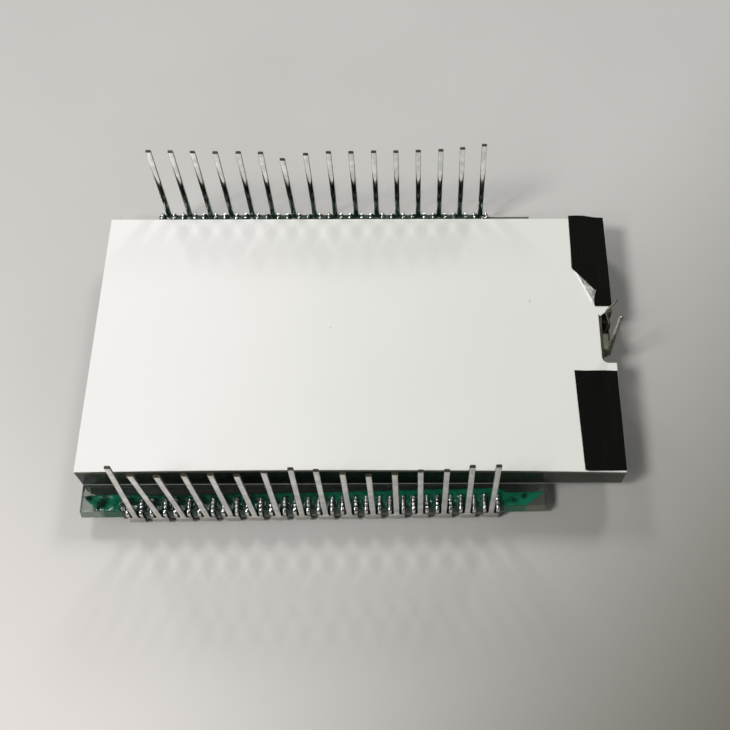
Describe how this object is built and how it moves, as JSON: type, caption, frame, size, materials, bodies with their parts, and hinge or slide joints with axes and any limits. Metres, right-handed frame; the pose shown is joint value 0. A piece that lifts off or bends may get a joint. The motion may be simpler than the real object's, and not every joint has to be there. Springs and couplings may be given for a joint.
{
  "type": "pinned seven segment liquid crystal display",
  "caption": "Face-down seven segment glass display cell with clip-on pins along both long edges and an edge-lit backlight on its rear.",
  "frame": {"origin": "centre of the front face, which is the lower face as modelled", "axes": "+X along the long side, +Y from the near pin row to the far one, +Z away from the viewing face, along the pins"},
  "size_m": [0.0592, 0.0398, 0.0149],
  "materials": {
    "front_polarizer": "dark grey-green polarizer sheet, glossy",
    "rear_polarizer": "grey polarizer sheet",
    "glass": "clear float glass with grey-green edges",
    "seal": "pale cured seal",
    "plug": "clear cured resin",
    "liquid_crystal": "pale fluid layer",
    "electrode": "faint transparent conductor",
    "common_electrode": "faint transparent conductor",
    "epoxy": "dark green translucent resin, wet gloss",
    "diffuser": "milky diffuser film",
    "light_guide": "clear moulded block that looks dark from its edges",
    "reflector": "white film, slightly warm",
    "black_tape": "black tape, satin",
    "lamp": "clear lamp resin",
    "lamp_die": "yellow light-giving die",
    "tinned_pin": "tinned sheet, bright with soft scratches"
  },
  "bodies": {
    "root": {"front_polarizer": "front_polarizer", "front_glass": "glass", "perimeter_seal": "seal", "fill_plug": "plug", "liquid_crystal": "liquid_crystal", "digit_1": "electrode", "digit_2": "electrode", "digit_3": "electrode", "digit_4": "electrode", "common_electrode": "common_electrode", "rear_glass": "glass", "rear_polarizer": "rear_polarizer", "epoxy_near": "epoxy", "epoxy_far": "epoxy", "diffuser_film": "diffuser", "light_guide": "light_guide", "reflector_film": "reflector", "tape_far": "black_tape", "tape_near": "black_tape", "lamp_body": "lamp", "lamp_die": "lamp_die", "lamp_lead_tall": "tinned_pin", "lamp_lead_short": "tinned_pin", "pin_near_01": "tinned_pin", "pin_near_02": "tinned_pin", "pin_near_03": "tinned_pin", "pin_near_04": "tinned_pin", "pin_near_05": "tinned_pin", "pin_near_06": "tinned_pin", "pin_near_07": "tinned_pin", "pin_near_08": "tinned_pin", "pin_near_09": "tinned_pin", "pin_near_10": "tinned_pin", "pin_near_11": "tinned_pin", "pin_near_12": "tinned_pin", "pin_near_13": "tinned_pin", "pin_near_14": "tinned_pin", "pin_near_15": "tinned_pin", "pin_near_16": "tinned_pin", "pin_far_01": "tinned_pin", "pin_far_02": "tinned_pin", "pin_far_03": "tinned_pin", "pin_far_04": "tinned_pin", "pin_far_05": "tinned_pin", "pin_far_06": "tinned_pin", "pin_far_07": "tinned_pin", "pin_far_08": "tinned_pin", "pin_far_09": "tinned_pin", "pin_far_10": "tinned_pin", "pin_far_11": "tinned_pin", "pin_far_12": "tinned_pin", "pin_far_13": "tinned_pin", "pin_far_14": "tinned_pin", "pin_far_15": "tinned_pin", "pin_far_16": "tinned_pin"}
  },
  "joints": []
}
